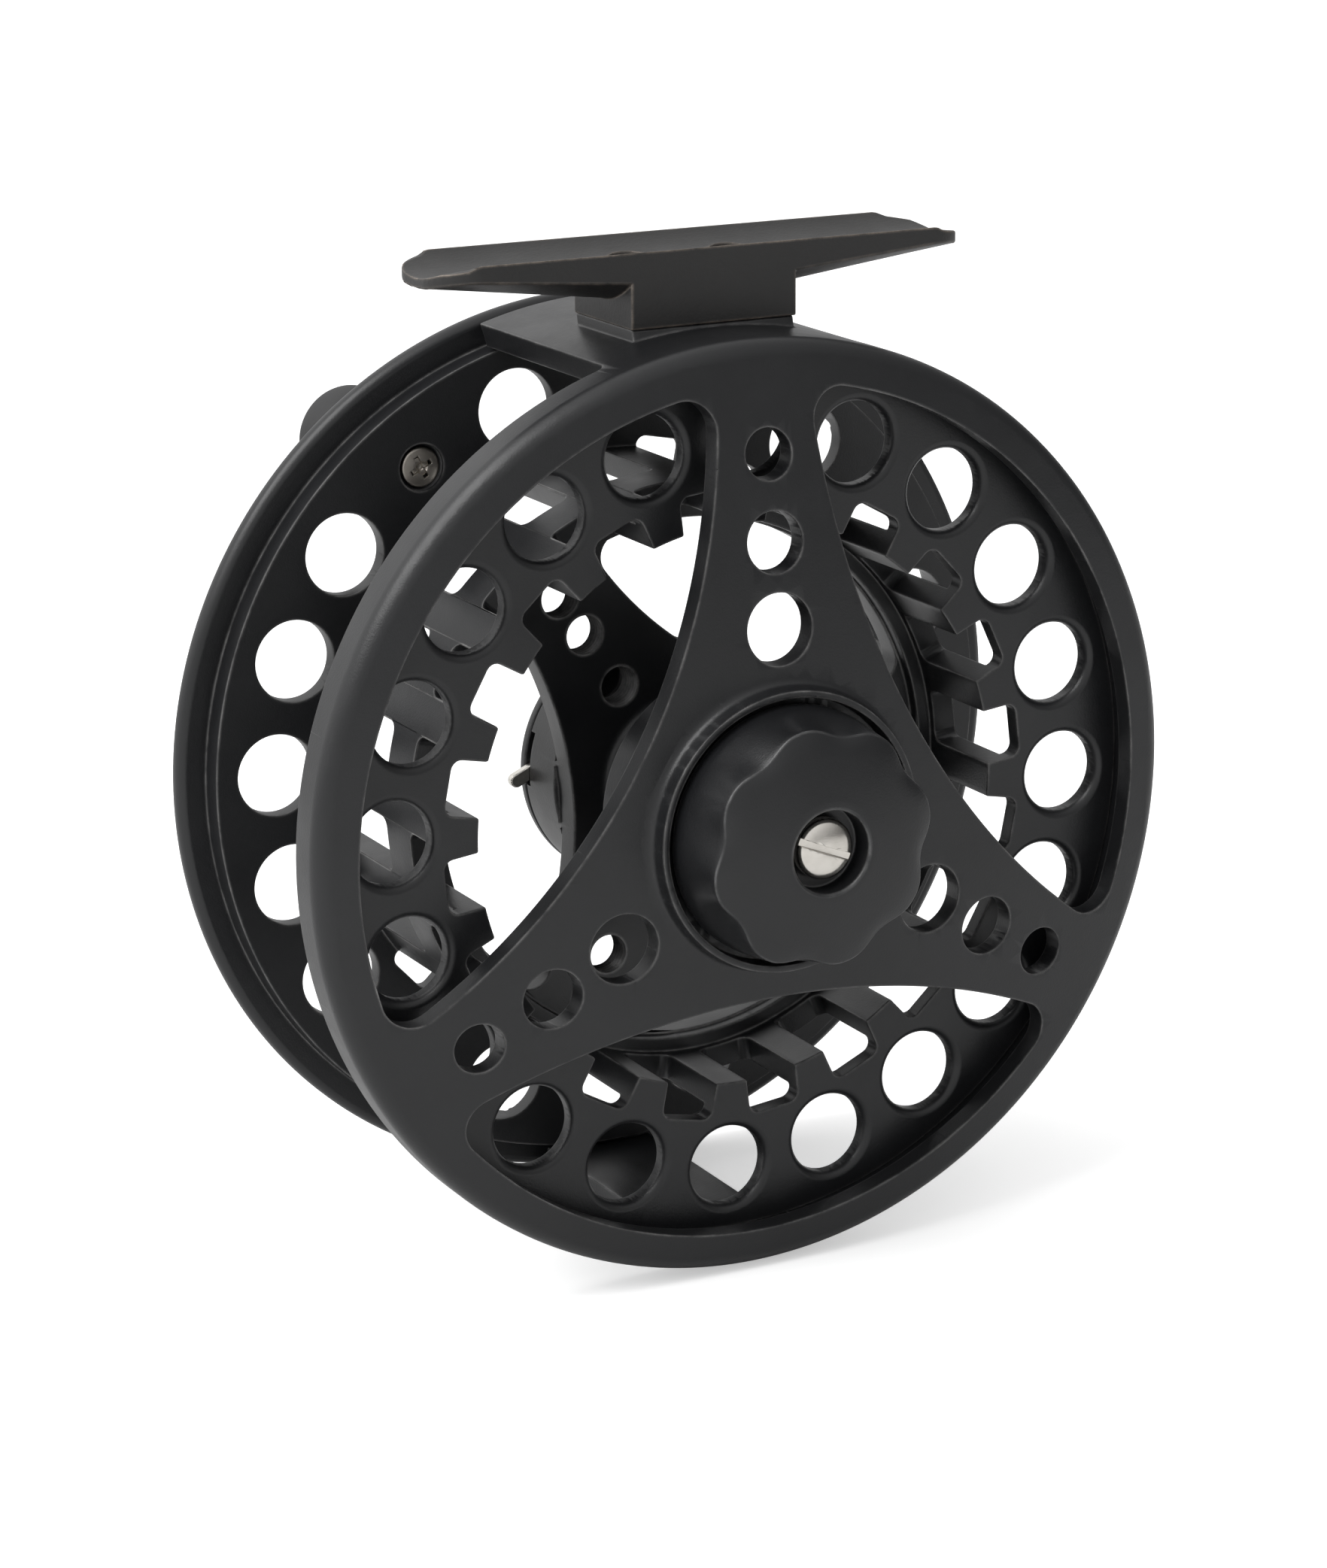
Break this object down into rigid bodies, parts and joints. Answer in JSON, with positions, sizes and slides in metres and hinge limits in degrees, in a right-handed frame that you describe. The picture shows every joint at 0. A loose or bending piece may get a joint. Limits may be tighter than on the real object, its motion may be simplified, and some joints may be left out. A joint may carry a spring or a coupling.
{
  "type": "fly reel",
  "caption": "Large-arbor fly reel: one-sided ported frame with rod foot, slotted spool with handle, disc drag with front knob and lever-release spool cap.",
  "frame": {"origin": "middle of the flat seat along the bottom of the foot's trough", "axes": "+Z out of the foot's seat towards the rod; +Y along the spindle from the drag knob to the handle; X along the foot"},
  "size_m": [0.1064, 0.074, 0.1153],
  "materials": {
    "black_frame": "satin black anodised aluminium",
    "black_foot": "matte black, worn brown along its edges",
    "black_knob": "satin black anodised aluminium",
    "handle_black": "matte black",
    "nickel": "polished nickel",
    "dark_nickel": "dull dark nickel",
    "steel": "machined",
    "carbon": "matte carbon composite"
  },
  "bodies": {
    "frame": {"frame": "black_frame", "foot": "black_foot", "foot_screw_front": "steel", "foot_screw_rear": "steel", "drag_cover": "black_frame", "spindle_bearing": "steel", "retaining_ring": "steel", "friction_disc_front": "carbon", "friction_disc_rear": "carbon"},
    "drag_knob": {"drag_knob": "black_knob", "knob_screw": "nickel", "adjuster_stud": "steel"},
    "pressure_plate": {"pressure_plate": "steel", "spring_washer_front": "steel", "spring_washer_rear": "steel"},
    "click_plunger": {"click_plunger": "steel"},
    "spindle": {"spindle": "steel", "brake_rotor": "steel"},
    "spool": {"spool": "black_frame", "clutch_bearing": "steel", "spool_bearing": "steel", "spool_cap": "black_frame", "cap_screw_1": "steel", "cap_screw_2": "steel", "cap_screw_3": "steel", "lever_pivot_pin": "steel", "latch_spring": "steel", "handle_post": "steel", "handle_screw": "dark_nickel", "handle_end_screw": "nickel"},
    "release_lever": {"release_lever": "nickel"},
    "latch_plate": {"latch_plate": "steel"},
    "handle_knob": {"handle_knob": "handle_black"}
  },
  "joints": [
    {"name": "drag_slip", "type": "hinge", "parent": "frame", "child": "spindle", "pos_m": [0, -0.0106, -0.0603], "axis": [0, 1, 0], "continuous": true},
    {"name": "spool_spin", "type": "hinge", "parent": "spindle", "child": "spool", "pos_m": [0, 0.0034, -0.0603], "axis": [0, 1, 0], "continuous": true},
    {"name": "drag_knob_turn", "type": "hinge", "parent": "frame", "child": "drag_knob", "pos_m": [0, -0.0266, -0.0603], "axis": [0, 1, 0], "range_deg": [0, 300]},
    {"name": "pressure_plate_slide", "type": "slide", "parent": "frame", "child": "pressure_plate", "axis": [0, 1, 0], "range_m": [0, 0.0005]},
    {"name": "click_plunger_slide", "type": "slide", "parent": "frame", "child": "click_plunger", "axis": [0, 1, 0], "range_m": [0, 0.0002]},
    {"name": "handle_knob_spin", "type": "hinge", "parent": "spool", "child": "handle_knob", "pos_m": [-0.02359, 0.0324, -0.02507], "axis": [0, 1, 0], "continuous": true},
    {"name": "release_lever_swing", "type": "hinge", "parent": "spool", "child": "release_lever", "pos_m": [-0.0105, 0.012, -0.0555], "axis": [0, 1, 0], "range_deg": [0, 20]},
    {"name": "latch_plate_slide", "type": "slide", "parent": "spool", "child": "latch_plate", "axis": [-1, 0, 0], "range_m": [0, 0.00075]}
  ],
  "couplings": [
    {"joint": "pressure_plate_slide", "follows": "drag_knob_turn", "m_per_rad": 0.000095483},
    {"joint": "release_lever_swing", "follows": "latch_plate_slide", "rad_per_m": 465.38}
  ]
}
